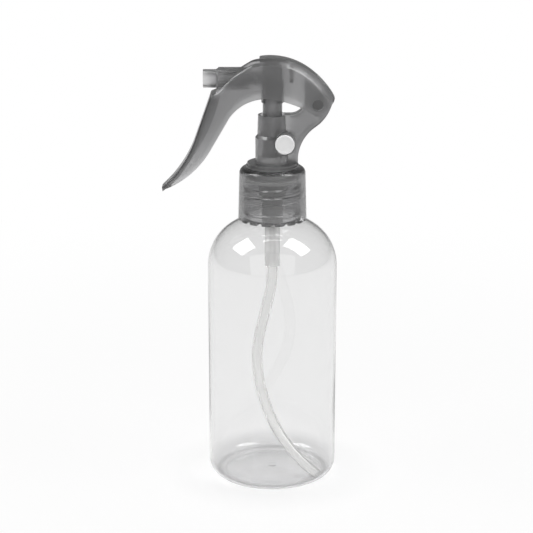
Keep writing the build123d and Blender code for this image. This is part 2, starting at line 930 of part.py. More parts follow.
with BuildPart() as swirl_insert:
    swirl_r = swirl_bore_r - swirl_clearance
    along_nozzle(
        [
            (spigot_end - swirl_length, 0),
            (spigot_end - swirl_length, swirl_r),
            (spigot_end - swirl_recess, swirl_r),
            (spigot_end - swirl_recess, 0),
        ]
    )
    with BuildSketch(Plane.YZ.offset(-(spigot_end - swirl_length))):
        with Locations((0, nozzle_z)):
            with PolarLocations(swirl_r, swirl_slot_count):
                Rectangle(swirl_r - swirl_core_r, swirl_slot_width)
    extrude(amount=-swirl_length, mode=Mode.SUBTRACT)
swirl_insert.part.label = "swirl_insert"

nozzle_face_start = spigot_end + nozzle_face_gap
nozzle_face_end = nozzle_face_start + nozzle_face

with BuildPart() as nozzle_cap:
    along_nozzle(
        [
            (nozzle_rear, spigot_r + nozzle_clearance),
            (nozzle_rear, nozzle_grip_r),
            (nozzle_grip_end, nozzle_grip_r),
            (nozzle_tip_start, nozzle_tip_r),
            (nozzle_tip_end, nozzle_tip_r),
            (nozzle_tip_end, nozzle_tip_bore_r),
            (nozzle_face_end, nozzle_tip_bore_r - nozzle_tip_draft),
            (nozzle_face_end, orifice_r),
            (nozzle_face_start, orifice_r),
            (nozzle_face_start, spigot_r + nozzle_clearance),
        ]
    )
    grip_length = nozzle_grip_end - nozzle_rear
    with BuildSketch(Plane.YZ.offset(-nozzle_rear)):
        with Locations((0, nozzle_z)):
            with PolarLocations(nozzle_grip_r, nozzle_rib_count):
                Rectangle(2 * nozzle_rib_height, nozzle_rib_width)
    extrude(amount=-grip_length)
nozzle_cap.part.label = "nozzle_cap"

# ---------------------------------------------------------------- hood and lever


def front_view(wall):
    """Solid of the hood's width as seen from the nozzle, moved inwards by the wall."""
    top = beak[1] + beyond
    half = hood_half_width - wall
    tip_half = lever_tip_half_width - wall
    low = lever_tip.Y + wall
    taper_top = hinge_z - lever_taper_top_drop
    taper_bottom = lever_tip.Y + lever_taper_rise
    right_side = [(tip_half, low), (tip_half, taper_bottom), (half, taper_top), (half, top)]
    left_side = [(-y, z) for y, z in reversed(right_side)]
    with BuildPart() as view:
        with BuildSketch(Plane.YZ) as view_outline:
            with BuildLine():
                Polyline(*right_side, *left_side, close=True)
            make_face()
            lowest = view_outline.vertices().group_by(Axis.Z)[0]
            fillet(lowest, radius=lever_tip_corner_r - wall)
        extrude(amount=beyond, both=True)
    return view.part


def edges_along(part, path):
    """Side edges of a part that follow a path drawn in the XZ plane."""

    def follows(edge):
        middle = edge @ 0.5
        flat = Vertex(middle.X, middle.Z, 0)
        return abs(middle.Y) > hood_wall and flat.distance_to(path) < same_place

    return part.edges().filter_by(Axis.Y, reverse=True).filter_by(follows)


def crown_side(inset):
    """Draw the crown from the beak to the mouth, moved inwards by the inset. Return its end and heading."""
    end, angle = inward(beak, crown_heading, inset), crown_heading
    for radius, turn in zip(crown_radii, crown_turns):
        end, angle = run_arc(end, angle, radius - inset, turn)
    return end, angle


with BuildLine() as crown_path:
    crown_end, _ = crown_side(0)

with BuildLine() as crease_path:
    crown_side(crown_chamfer)

with BuildLine() as roof_path:
    crown_side(crown_wall)

with BuildLine() as mouth_path:
    point, angle = run_line(crown_end, mouth_heading, mouth_line), mouth_heading
    for radius, turn in zip(mouth_radii, mouth_turns):
        point, angle = run_arc(point, angle, radius, turn)
    lever_top = point

with BuildLine() as lever_path:
    point = run_line(lever_top, lever_heading, lever_line)
    lever_end, _ = run_arc(point, lever_heading, lever_r, lever_turn)

lever_tip = lever_end + Vector(lever_tip_reach, -lever_tip_drop)
lever_back = lever_tip + Vector(lever_back_reach, lever_back_rise)
outer_view = front_view(0)
inner_view = front_view(hood_wall)

with BuildPart() as hood_solid:
    with BuildSketch(Plane.XZ):
        with BuildLine():
            add(crown_path.line)
            add(mouth_path.line)
            add(lever_path.line)
            Polyline(lever_end, lever_tip, lever_back)
            point, angle = lever_back, lever_back_heading
            point, angle = run_arc(point, angle, lever_back_radii[0], lever_back_turns[0])
            point = run_line(point, angle, lever_back_line)
            angle = angle + lever_back_bend_angle
            for radius, turn in zip(lever_back_radii[1:], lever_back_turns[1:]):
                point, angle = run_arc(point, angle, radius, turn)
            Polyline(point, *ear_corners, beak)
        make_face()
    extrude(amount=hood_half_width)
    add(outer_view, mode=Mode.INTERSECT)
    # slope the crown's sides, then soften the mouth, the crease below the slope and the lever
    chamfer(edges_along(hood_solid, crown_path.line), length=crown_chamfer)
    fillet(edges_along(hood_solid, mouth_path.line), radius=mouth_edge_r)
    fillet(edges_along(hood_solid, crease_path.line), radius=crown_crease_r)
    fillet(edges_along(hood_solid, lever_path.line), radius=lever_edge_r)
    # round the beak as seen from above
    with BuildSketch() as top_view:
        with Locations((beak[0], 0)):
            Rectangle(2 * beyond, 2 * hood_half_width, align=(Align.MAX, Align.CENTER))
        corners = top_view.vertices().group_by(Axis.X)[-1]
        fillet(corners, radius=beak_corner_r)
    extrude(amount=hinge_z + beyond, mode=Mode.INTERSECT)
    mirror(about=Plane.XZ)

with BuildPart() as hood_hollow:
    with BuildSketch(Plane.XZ):
        with BuildLine():
            start = inward(beak, crown_heading, crown_wall)
            below = start - heading(crown_heading) * hollow_reach
            run_line(below, crown_heading, hollow_reach)
            point, angle = crown_side(crown_wall)
            above = point - heading(angle + 90) * hollow_reach
            inner_lever_top = inward(lever_top, lever_heading, lever_wall)
            over = inner_lever_top - heading(lever_heading) * hollow_reach
            Polyline(point, above, (over.X, above.Y), over)
            point = run_line(over, lever_heading, lever_line + hollow_reach)
            point, _ = run_arc(point, lever_heading, lever_r + lever_wall, lever_hollow_turn)
            end = point + Vector(lever_hollow_end_reach, -lever_hollow_end_drop)
            Polyline(point, end, (beyond, end.Y), below)
        make_face()
    extrude(amount=inner_half_width, both=True)
    chamfer(edges_along(hood_hollow, roof_path.line), length=roof_chamfer)
    add(inner_view, mode=Mode.INTERSECT)
    # leave the pad that bears on the spray head, and the guide rib behind the head
    with BuildSketch(Plane.XZ):
        pad_bottom = block_top + pad_gap
        with Locations((pad_x, pad_bottom + pad_r)):
            Circle(pad_r)
        with Locations((pad_x, pad_bottom + pad_r)):
            Rectangle(2 * pad_r, beyond, align=(Align.CENTER, Align.MIN))
        with Locations((guide_rib_x, nozzle_z - guide_rib_drop)):
            Rectangle(guide_rib_width, beyond, align=(Align.CENTER, Align.MIN))
    extrude(amount=hood_half_width, both=True, mode=Mode.SUBTRACT)

with BuildPart() as trigger:
    add(hood_solid.part)
    add(hood_hollow.part, mode=Mode.SUBTRACT)
    # slot in the crown over the arm
    with BuildSketch(Plane.XY.offset(hinge_z)):
        with Locations((crown_slot_x, 0)):
            Rectangle(crown_slot_length, 2 * crown_slot_half_width)
    extrude(amount=beyond, mode=Mode.SUBTRACT)
    # holes for the studs
    with BuildSketch(Plane.XZ):
        with Locations((hinge_x, hinge_z)):
            Circle(stud_r + stud_clearance)
    extrude(amount=hood_half_width + cut_margin, both=True, mode=Mode.SUBTRACT)
trigger.part.label = "trigger"

# ---------------------------------------------------------------- write the parts

pieces = [
    bottle,
    closure,
    neck_gasket,
    pump_housing,
    dip_tube,
    inlet_ball,
    return_spring,
    piston,
    piston_rod,
    guide_collar,
    stem_wiper,
    stem,
    outlet_ball,
    sprayer_body,
    lock_button,
    spray_head,
    swirl_insert,
    nozzle_cap,
    trigger,
]
for piece in pieces:
    export_step(piece.part, f"parts/{piece.part.label}.step")
print("stroke", round(stroke, 3), "ratio m/rad", round(stroke / pull / 1000, 6))
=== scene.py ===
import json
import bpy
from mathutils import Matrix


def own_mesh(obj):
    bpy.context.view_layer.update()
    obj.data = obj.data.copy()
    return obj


bl_info = {
    "name": "Hand Mister",
    "version": (1, 0, 0),
    "blender": (4, 5, 0),
    "location": "View3D > Sidebar > Hand Mister",
    "description": "Dresses the hand mister's frame in its plastics and sets up a small studio",
    "category": "Object",
}

from math import cos, pi, radians, sin

import bpy
from mathutils import Vector

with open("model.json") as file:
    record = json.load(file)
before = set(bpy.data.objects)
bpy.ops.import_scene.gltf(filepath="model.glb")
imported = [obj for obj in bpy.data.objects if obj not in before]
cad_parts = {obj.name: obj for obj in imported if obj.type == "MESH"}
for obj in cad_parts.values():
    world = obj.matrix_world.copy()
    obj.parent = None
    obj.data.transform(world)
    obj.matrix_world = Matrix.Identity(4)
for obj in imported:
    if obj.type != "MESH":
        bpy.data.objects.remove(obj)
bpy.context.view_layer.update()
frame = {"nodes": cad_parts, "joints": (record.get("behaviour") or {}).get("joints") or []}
nodes = frame["nodes"]

# Places on the pieces are in metres, in the frame's own axes

# Factors that keep only the distance from an upright axis, or from one that runs along Y
ROUND_Z = (1, 1, 0)
ROUND_Y = (1, 0, 1)
ORIGIN = (0, 0, 0)

# The crown's arc behind the beak has this centre, and its sides slope from the crease radius outwards
CROWN_CENTRE = (-0.00573, 0, 0.14598)
CREASE_RADII = (0.0331, 0.0336)

# The web along the lever's front lies within these radii of this centre
WEB_CENTRE = (-0.09707, 0, 0.18358)
WEB_RADII = (0.0778, 0.0783)

# The hinge studs end between these radii
STUD_RADII = (0.0026, 0.0030)

# The bottle's rounded heel lies outside these radii and below these heights, where its colour is darkened
# as painted shade
HEEL_RADII = (0.0212, 0.0230)
HEEL_HEIGHTS = (0.0004, 0.0018)

# Stretches over which the colour or the polish changes: axis, start and end
# The bottle darkens towards its bottom, partly for its thicker base and partly as painted shadow beneath it
BASE_TO_WALL = ("Z", 0.002, 0.010)
LEVER_TO_HOOD = ("Z", 0.128, 0.156)
WEB_TO_HOOD = ("Z", 0.163, 0.167)
FRONT_TO_REAR = ("X", 0.004, 0.009)
POLISHED_TO_DULL = ("X", 0.003, 0.009)
BODY_TO_FIN = ("X", 0.006, 0.010)
TIP_TO_GRIP = ("X", -0.0275, -0.0225)

# Polish of the smoke plastic, and how much less of it the crown's dull slope has
SMOKE_COAT = 0.8
DULL_COAT_LOSS = 0.75
DULL_ROUGHNESS_GAIN = 0.2

# Part of a noise value's range in which nearly all of it lies
NOISE_MIDDLE = (0.3, 0.7)

# Radii of the floor's ring that runs from the shade under the bottle to the open floor
FOOT_RADII = (0.024, 0.05)

# Width of the camera's frame in millimetres
FRAME_WIDTH = 36.0

# Lamps: name, setting of its brightness, azimuth and elevation in degrees, width and height in metres
LAMPS = (
    ("softbox_left", "lamp_brightness", -83, 48, 0.60, 0.60),
    ("softbox_right", "lamp_brightness", 76, 52, 0.53, 0.80),
    ("strip_near", "lamp_brightness", 0, 85.3, 0.53, 0.05),
    ("strip_far", "lamp_brightness", 180, 81.5, 0.53, 0.05),
    ("fill_front", "fill_brightness", 0, 25, 2.0, 1.2),
)
LAMP_TARGET = Vector((0, 0, 0.105))


# ---------------------------------------------------------------- settings


class MisterFinish(bpy.types.PropertyGroup):
    """Colours of the mister's plastics and steel."""

    smoke_body: bpy.props.FloatVectorProperty(
        name="Smoke Body",
        description="Colour that the smoke plastic of the sprayer's body lets through",
        subtype="COLOR",
        size=4,
        min=0.0,
        max=1.0,
        default=(0.73, 0.73, 0.735, 1.0),
    )
    smoke_hood: bpy.props.FloatVectorProperty(
        name="Smoke Hood",
        description="Colour that the hood over the head lets through",
        subtype="COLOR",
        size=4,
        min=0.0,
        max=1.0,
        default=(0.58, 0.58, 0.585, 1.0),
    )
    smoke_lever: bpy.props.FloatVectorProperty(
        name="Smoke Lever",
        description="Colour that the lever's lower end lets through",
        subtype="COLOR",
        size=4,
        min=0.0,
        max=1.0,
        default=(0.76, 0.76, 0.765, 1.0),
    )
    smoke_web: bpy.props.FloatVectorProperty(
        name="Smoke Web",
        description="Share of the hood's colour that the web along the lever's front lets through",
        subtype="COLOR",
        size=4,
        min=0.0,
        max=1.0,
        default=(0.66, 0.66, 0.665, 1.0),
    )
    smoke_rear: bpy.props.FloatVectorProperty(
        name="Smoke Rear",
        description="Colour that the hood lets through behind the head",
        subtype="COLOR",
        size=4,
        min=0.0,
        max=1.0,
        default=(0.67, 0.67, 0.675, 1.0),
    )
    smoke_head: bpy.props.FloatVectorProperty(
        name="Smoke Head",
        description="Colour that the spray head and its stem let through",
        subtype="COLOR",
        size=4,
        min=0.0,
        max=1.0,
        default=(0.52, 0.52, 0.525, 1.0),
    )
    smoke_fin: bpy.props.FloatVectorProperty(
        name="Smoke Fin",
        description="Colour that the fin behind the body lets through",
        subtype="COLOR",
        size=4,
        min=0.0,
        max=1.0,
        default=(0.59, 0.59, 0.595, 1.0),
    )
    smoke_stud: bpy.props.FloatVectorProperty(
        name="Smoke Stud",
        description="Colour that the hinge studs let through",
        subtype="COLOR",
        size=4,
        min=0.0,
        max=1.0,
        default=(0.4, 0.4, 0.405, 1.0),
    )
    smoke_closure: bpy.props.FloatVectorProperty(
        name="Smoke Closure",
        description="Colour that the closure lets through",
        subtype="COLOR",
        size=4,
        min=0.0,
        max=1.0,
        default=(0.56, 0.56, 0.565, 1.0),
    )
    smoke_nozzle: bpy.props.FloatVectorProperty(
        name="Smoke Nozzle",
        description="Colour that the nozzle cap lets through",
        subtype="COLOR",
        size=4,
        min=0.0,
        max=1.0,
        default=(0.66, 0.66, 0.665, 1.0),
    )
    smoke_tip: bpy.props.FloatVectorProperty(
        name="Smoke Tip",
        description="Colour that the nozzle cap's thin tip lets through",
        subtype="COLOR",
        size=4,
        min=0.0,
        max=1.0,
        default=(1.0, 1.0, 1.0, 1.0),
    )
    smoke_shadow: bpy.props.FloatVectorProperty(
        name="Smoke Shadow",
        description="Light that one face of the smoke plastic lets through to what is behind it",
        subtype="COLOR",
        size=4,
        min=0.0,
        max=1.0,
        default=(0.80, 0.80, 0.805, 1.0),
    )
    smoke_depth: bpy.props.FloatProperty(
        name="Smoke Depth",
        description="How fast light fades inside the smoke plastic, per metre",
        min=0.0,
        default=480.0,
    )
    clear: bpy.props.FloatVectorProperty(
        name="Clear",
        description="Colour of the clear bottle's wall",
        subtype="COLOR",
        size=4,
        min=0.0,
        max=1.0,
        default=(0.96, 0.96, 0.96, 1.0),
    )
    # Partly the thicker base's own colour, partly painted shadow of the floor beneath the bottle
    thick_base_and_painted_shadow: bpy.props.FloatVectorProperty(
        name="Clear Base",
        description="Colour of the bottle's thicker base",
        subtype="COLOR",
        size=4,
        min=0.0,
        max=1.0,
        default=(0.77, 0.77, 0.775, 1.0),
    )
    # Painted shade: a dark rim on the bottle's heel, where it stands on the floor
    heel_painted_shade: bpy.props.FloatVectorProperty(
        name="Clear Heel",
        description="Colour of the rounded edge that the bottle's wall stands on",
        subtype="COLOR",
        size=4,
        min=0.0,
        max=1.0,
        default=(0.5, 0.5, 0.505, 1.0),
    )
    clear_shadow: bpy.props.FloatVectorProperty(
        name="Clear Shadow",
        description="Light that one face of the clear wall lets through to what is behind it",
        subtype="COLOR",
        size=4,
        min=0.0,
        max=1.0,
        default=(0.95, 0.95, 0.95, 1.0),
    )
    natural: bpy.props.FloatVectorProperty(
        name="Natural",
        description="Colour of the undyed pump parts",
        subtype="COLOR",
        size=4,
        min=0.0,
        max=1.0,
        default=(0.97, 0.97, 0.96, 1.0),
    )
    natural_shadow: bpy.props.FloatVectorProperty(
        name="Natural Shadow",
        description="Light that one face of the undyed plastic lets through to what is behind it",
        subtype="COLOR",
        size=4,
        min=0.0,
        max=1.0,
        default=(0.9, 0.9, 0.9, 1.0),
    )
    tube: bpy.props.FloatVectorProperty(
        name="Tube",
        description="Colour of the dip tube",
        subtype="COLOR",
        size=4,
        min=0.0,
        max=1.0,
        default=(0.97, 0.97, 0.965, 1.0),
    )
    white: bpy.props.FloatVectorProperty(
        name="White",
        description="Colour of the lock button",
        subtype="COLOR",
        size=4,
        min=0.0,
        max=1.0,
        default=(0.86, 0.86, 0.86, 1.0),
    )
    seal: bpy.props.FloatVectorProperty(
        name="Seal",
        description="Colour of the gasket and the wiper seal",
        subtype="COLOR",
        size=4,
        min=0.0,
        max=1.0,
        default=(0.72, 0.72, 0.71, 1.0),
    )
    steel: bpy.props.FloatVectorProperty(
        name="Steel",
        description="Colour of the spring and the valve balls",
        subtype="COLOR",
        size=4,
        min=0.0,
        max=1.0,
        default=(0.62, 0.62, 0.63, 1.0),
    )


class MisterStudio(bpy.types.PropertyGroup):
    """Camera, floor and light."""

    camera_place: bpy.props.FloatVectorProperty(
        name="Camera Place",
        description="Where the camera stands",
        subtype="TRANSLATION",
        unit="LENGTH",
        size=3,
        default=(-0.00245, -0.6788, 0.2926),
    )
    camera_tilt: bpy.props.FloatProperty(
        name="Camera Tilt",
        description="How far the camera looks down",
        subtype="ANGLE",
        default=radians(16.5),
    )
    lens: bpy.props.FloatProperty(
        name="Lens",
        description="Focal length on a frame 36 mm wide",
        unit="CAMERA",
        default=114.0,
    )
    floor_colour: bpy.props.FloatVectorProperty(
        name="Floor Colour",
        description="Colour of the floor",
        subtype="COLOR",
        size=4,
        min=0.0,
        max=1.0,
        default=(0.9, 0.9, 0.9, 1.0),
    )
    floor_half: bpy.props.FloatProperty(
        name="Floor Half Width",
        description="Half of the floor's width",
        unit="LENGTH",
        default=3.0,
    )
    floor_white_near: bpy.props.FloatProperty(
        name="White Near",
        description="Share of plain white in the floor round the mister, the rest shows its shadow",
        subtype="FACTOR",
        min=0.0,
        max=1.0,
        default=0.85,
    )
    floor_white_reach: bpy.props.FloatProperty(
        name="White Reach",
        description="Distance from the mister where the floor is plain white",
        unit="LENGTH",
        default=0.45,
    )
    floor_white_under: bpy.props.FloatProperty(
        name="White Under",
        description="Share of plain white in the floor under the bottle",
        subtype="FACTOR",
        min=0.0,
        max=1.0,
        default=0.2,
    )
    floor_white_through: bpy.props.FloatProperty(
        name="White Through",
        description="Share of that white which is seen through clear plastic",
        subtype="FACTOR",
        min=0.0,
        max=1.0,
        default=0.5,
    )
    floor_white_mirrored: bpy.props.FloatProperty(
        name="White Mirrored",
        description="Share of that white which gloss mirrors",
        subtype="FACTOR",
        min=0.0,
        max=1.0,
        default=0.2,
    )
    air: bpy.props.FloatProperty(
        name="Air",
        description="Brightness of the room above the floor",
        min=0.0,
        default=0.22,
    )
    lamp_distance: bpy.props.FloatProperty(
        name="Lamp Distance",
        description="Distance of the softboxes from the shoulder of the bottle",
        unit="LENGTH",
        default=1.2,
    )
    lamp_brightness: bpy.props.FloatProperty(
        name="Lamp Brightness",
        description="Brightness of the softboxes, where 1 is white",
        min=0.0,
        default=5.2,
    )
    fill_brightness: bpy.props.FloatProperty(
        name="Fill Brightness",
        description="Brightness of the wide soft light in front",
        min=0.0,
        default=0.7,
    )


# ---------------------------------------------------------------- helpers


def colours():
    """Settings of the mister's finishes."""
    return bpy.context.scene.mister_finish


def studio():
    """Settings of camera, floor and light."""
    return bpy.context.scene.mister_studio


def joint(name):
    """The frame's joint of this name."""
    return next(entry for entry in frame["joints"] if entry["name"] == name)


def dress(names, material):
    """Give CAD nodes this material in place of their plain one."""
    for name in names:
        slots = nodes[name].data.materials
        slots.clear()
        slots.append(material)


class Shading:
    """A material's node tree, built one node at a time."""

    def __init__(self, name):
        self.material = bpy.data.materials.new(name)
        self.material.use_nodes = True
        self.tree = self.material.node_tree
        self.shader = self.tree.nodes["Principled BSDF"]
        self.output = self.tree.nodes["Material Output"]
        self.place = self.add("ShaderNodeTexCoord").outputs["Object"]

    def add(self, kind, **settings):
        node = self.tree.nodes.new(kind)
        for key, value in settings.items():
            setattr(node, key, value)
        return node

    def link(self, start, end):
        self.tree.links.new(start, end)

    def feed(self, value, socket):
        """Give a socket its value, which is another socket or a plain value."""
        if isinstance(value, bpy.types.NodeSocket):
            self.link(value, socket)
        else:
            socket.default_value = value

    def maths(self, operation, *values):
        """Result of an operation on two values, each a socket or a number."""
        node = self.add("ShaderNodeMath", operation=operation)
        for value, socket in zip(values, node.inputs):
            self.feed(value, socket)
        return node.outputs[0]

    def noise(self, scale, detail=2.0, stretch=None):
        """Noise value with features of 1 / scale metres, or other ones along an axis."""
        place = self.place
        if stretch:
            mapping = self.add("ShaderNodeMapping")
            mapping.inputs["Scale"].default_value = stretch
            self.link(place, mapping.inputs["Vector"])
            place = mapping.outputs["Vector"]
        noise = self.add("ShaderNodeTexNoise")
        noise.inputs["Scale"].default_value = scale
        noise.inputs["Detail"].default_value = detail
        self.link(place, noise.inputs["Vector"])
        return noise.outputs["Fac"]

    def change(self, value, low, high, start=0.0, end=1.0, kind="SMOOTHSTEP"):
        """Map a value from one range onto another, and hold it at both ends."""
        node = self.add("ShaderNodeMapRange", interpolation_type=kind)
        for key, number in zip(("From Min", "From Max", "To Min", "To Max"), (low, high, start, end)):
            node.inputs[key].default_value = number
        self.link(value, node.inputs["Value"])
        return node.outputs["Result"]

    def spread(self, value, low, high):
        """Map the middle of a noise value onto a range."""
        return self.change(value, *NOISE_MIDDLE, low, high, "LINEAR")

    def along(self, axis, low, high, start=0.0, end=1.0):
        """Soft change from start to end between two places along an axis."""
        place = self.add("ShaderNodeSeparateXYZ")
        self.link(self.place, place.inputs[0])
        return self.change(place.outputs[axis], low, high, start, end)

    def outwards(self, across, centre, low, high, start=0.0, end=1.0):
        """Soft change from start to end between two distances from an axis through the centre."""
        flat = self.add("ShaderNodeVectorMath", operation="MULTIPLY")
        flat.inputs[1].default_value = across
        self.link(self.place, flat.inputs[0])
        radius = self.add("ShaderNodeVectorMath", operation="DISTANCE")
        radius.inputs[1].default_value = centre
        self.link(flat.outputs["Vector"], radius.inputs[0])
        return self.change(radius.outputs["Value"], low, high, start, end)

    def blend(self, value, start, end):
        """Colour between two others, each a socket or a colour."""
        mix = self.add("ShaderNodeMix", data_type="RGBA")
        self.link(value, mix.inputs["Factor"])
        self.feed(start, mix.inputs["A"])
        self.feed(end, mix.inputs["B"])
        return mix.outputs["Result"]

    def times(self, colour, share):
        """Product of a colour and another one."""
        mix = self.add("ShaderNodeMix", data_type="RGBA", blend_type="MULTIPLY")
        mix.inputs["Factor"].default_value = 1.0
        self.link(colour, mix.inputs["A"])
        mix.inputs["B"].default_value = share
        return mix.outputs["Result"]

    def drift(self, colour, scale, amount):
        """Colour that drifts by a share of itself, in patches of 1 / scale metres."""
        darker = [c * (1 - amount) for c in colour[:3]] + [1]
        lighter = [min(c * (1 + amount), 1) for c in colour[:3]] + [1]
        return self.blend(self.noise(scale), darker, lighter)

    def paint(self, colour):
        """Link the surface's colour."""
        self.link(colour, self.shader.inputs["Base Color"])

    def grain(self, scale, low, high):
        """Link a roughness that varies in a grain of 1 / scale metres."""
        self.roughness = self.spread(self.noise(scale, 4.0), low, high)
        self.link(self.roughness, self.shader.inputs["Roughness"])

    def surface(self, **values):
        """Set sockets of the shader that are the same all over, their names with underscores."""
        for key, value in values.items():
            self.shader.inputs[key.replace("_", " ")].default_value = value

    def relief(self, value, depth, strength):
        """Link a bump of this depth in metres."""
        bump = self.add("ShaderNodeBump")
        bump.inputs["Distance"].default_value = depth
        bump.inputs["Strength"].default_value = strength
        self.link(value, bump.inputs["Height"])
        self.link(bump.outputs["Normal"], self.shader.inputs["Normal"])

    def absorb(self, density):
        """Let light fade on its way through the plastic."""
        fade = self.add("ShaderNodeVolumeAbsorption")
        fade.inputs["Density"].default_value = density
        self.link(fade.outputs["Volume"], self.output.inputs["Volume"])

    def mix(self, value, start, end):
        """Show the second of two shaders' outputs by this share."""
        mix = self.add("ShaderNodeMixShader")
        self.link(value, mix.inputs["Fac"])
        self.link(start, mix.inputs[1])
        self.link(end, mix.inputs[2])
        self.link(mix.outputs["Shader"], self.output.inputs["Surface"])

    def let_light_through(self, colour):
        """Let lamps shine through the surface with this share of their light."""
        path = self.add("ShaderNodeLightPath")
        clear = self.add("ShaderNodeBsdfTransparent")
        clear.inputs["Color"].default_value = colour
        self.mix(path.outputs["Is Shadow Ray"], self.shader.outputs["BSDF"], clear.outputs["BSDF"])


# ---------------------------------------------------------------- materials


def smoke_plastic(name, roughness=(0.28, 0.36), coat=SMOKE_COAT):
    """Translucent smoke plastic, still without its colour."""
    s = Shading(name)
    s.grain(900.0, *roughness)
    s.surface(IOR=1.49, Transmission_Weight=0.98, Coat_Weight=coat, Coat_Roughness=0.05)
    s.absorb(colours().smoke_depth)
    s.relief(s.noise(2400.0, 3.0), depth=0.00001, strength=0.4)
    s.let_light_through(colours().smoke_shadow)
    return s


def smoke(shading, colour):
    """The smoke plastic's colour, a little uneven."""
    return shading.drift(colour, scale=70.0, amount=0.04)


def head_plastic():
    """Smoke plastic of the spray head and its stem."""
    s = smoke_plastic("smoke_head")
    s.paint(smoke(s, colours().smoke_head))
    return s.material


def closure_plastic():
    """Smoke plastic, smoother and with less coat, so that the thread behind it shows."""
    s = smoke_plastic("smoke_closure", roughness=(0.13, 0.21), coat=0.3)
    s.paint(smoke(s, colours().smoke_closure))
    return s.material


def nozzle_plastic():
    """Smoke plastic, lighter in the thin tip."""
    s = smoke_plastic("smoke_nozzle")
    tip, grip = smoke(s, colours().smoke_tip), smoke(s, colours().smoke_nozzle)
    s.paint(s.blend(s.along(*TIP_TO_GRIP), tip, grip))
    return s.material


def body_plastic():
    """Smoke plastic, denser in the fin and in the solid studs that the hood turns on."""
    s = smoke_plastic("smoke_body")
    body, fin = smoke(s, colours().smoke_body), smoke(s, colours().smoke_fin)
    past_stud = s.outwards(ROUND_Y, joint("lever_pull")["pos_m"], *STUD_RADII)
    s.paint(s.blend(past_stud, colours().smoke_stud, s.blend(s.along(*BODY_TO_FIN), body, fin)))
    return s.material


def hood_plastic():
    """Smoke plastic, denser in the web along the lever's front and dull on the crown's slope."""
    s = smoke_plastic("smoke_lever")
    lever, top = smoke(s, colours().smoke_lever), smoke(s, colours().smoke_hood)
    front = s.blend(s.along(*LEVER_TO_HOOD), lever, top)
    hood = s.blend(s.along(*FRONT_TO_REAR), front, smoke(s, colours().smoke_rear))
    past_web = s.maths("MAXIMUM", s.outwards(ROUND_Y, WEB_CENTRE, *WEB_RADII), s.along(*WEB_TO_HOOD))
    s.paint(s.blend(past_web, s.times(hood, colours().smoke_web), hood))
    slope = s.outwards(ROUND_Y, CROWN_CENTRE, *CREASE_RADII)
    dull = s.maths("MULTIPLY", slope, s.along(*POLISHED_TO_DULL))
    coat = s.maths("SUBTRACT", SMOKE_COAT, s.maths("MULTIPLY", dull, DULL_COAT_LOSS))
    s.link(coat, s.shader.inputs["Coat Weight"])
    roughness = s.maths("ADD", s.roughness, s.maths("MULTIPLY", dull, DULL_ROUGHNESS_GAIN))
    s.link(roughness, s.shader.inputs["Roughness"])
    return s.material


def clear_plastic():
    """Clear plastic of the bottle with slow waves in the wall, darker in the base for its thicker plastic
    and as painted shadow beneath it, and with a painted dark rim of shade on its rounded heel.
    """
    s = Shading("clear_plastic")
    wall = s.drift(colours().clear, scale=40.0, amount=0.01)
    # Darker towards the bottom: thicker base and painted shadow beneath it
    bottle = s.blend(s.along(*BASE_TO_WALL), colours().thick_base_and_painted_shadow, wall)
    # Painted shade: the heel's ring takes the dark rim colour
    low = s.along("Z", *HEEL_HEIGHTS, start=1.0, end=0.0)
    heel = s.maths("MULTIPLY", low, s.outwards(ROUND_Z, ORIGIN, *HEEL_RADII))
    s.paint(s.blend(heel, bottle, colours().heel_painted_shade))
    s.grain(600.0, 0.015, 0.04)
    s.surface(IOR=1.57, Transmission_Weight=1.0)
    s.relief(s.noise(42.0, 1.0, stretch=(1.0, 1.0, 0.5)), depth=0.0004, strength=0.5)
    s.let_light_through(colours().clear_shadow)
    return s.material


def natural_plastic():
    """Undyed plastic of the pump, milky and satin."""
    s = Shading("natural_plastic")
    s.paint(s.drift(colours().natural, scale=120.0, amount=0.04))
    s.grain(1100.0, 0.3, 0.42)
    s.surface(IOR=1.5, Transmission_Weight=0.75)
    s.relief(s.noise(1800.0, 3.0), depth=0.00001, strength=0.5)
    s.let_light_through(colours().natural_shadow)
    return s.material


def tube_plastic():
    """Undyed plastic of the dip tube, clearer and glossier."""
    s = Shading("tube_plastic")
    s.paint(s.drift(colours().tube, scale=120.0, amount=0.02))
    s.grain(1100.0, 0.16, 0.24)
    s.surface(IOR=1.4, Transmission_Weight=0.9, Coat_Weight=0.5, Coat_Roughness=0.06)
    s.relief(s.noise(1800.0, 3.0), depth=0.00001, strength=0.3)
    s.let_light_through(colours().natural_shadow)
    return s.material


def white_plastic():
    """White satin plastic of the lock button."""
    s = Shading("white_plastic")
    s.paint(s.drift(colours().white, scale=180.0, amount=0.02))
    s.grain(1500.0, 0.3, 0.42)
    s.relief(s.noise(3000.0, 3.0), depth=0.00001, strength=0.5)
    return s.material


def seal_rubber():
    """Soft matt plastic of the gasket and the wiper seal."""
    s = Shading("seal_rubber")
    s.paint(s.drift(colours().seal, scale=200.0, amount=0.03))
    s.grain(1500.0, 0.55, 0.7)
    s.relief(s.noise(2600.0, 3.0), depth=0.00002, strength=0.6)
    return s.material


def bright_steel():
    """Drawn steel of the spring and the valve balls."""
    s = Shading("bright_steel")
    s.paint(s.drift(colours().steel, scale=300.0, amount=0.05))
    s.grain(3000.0, 0.18, 0.3)
    s.surface(Metallic=1.0)
    return s.material


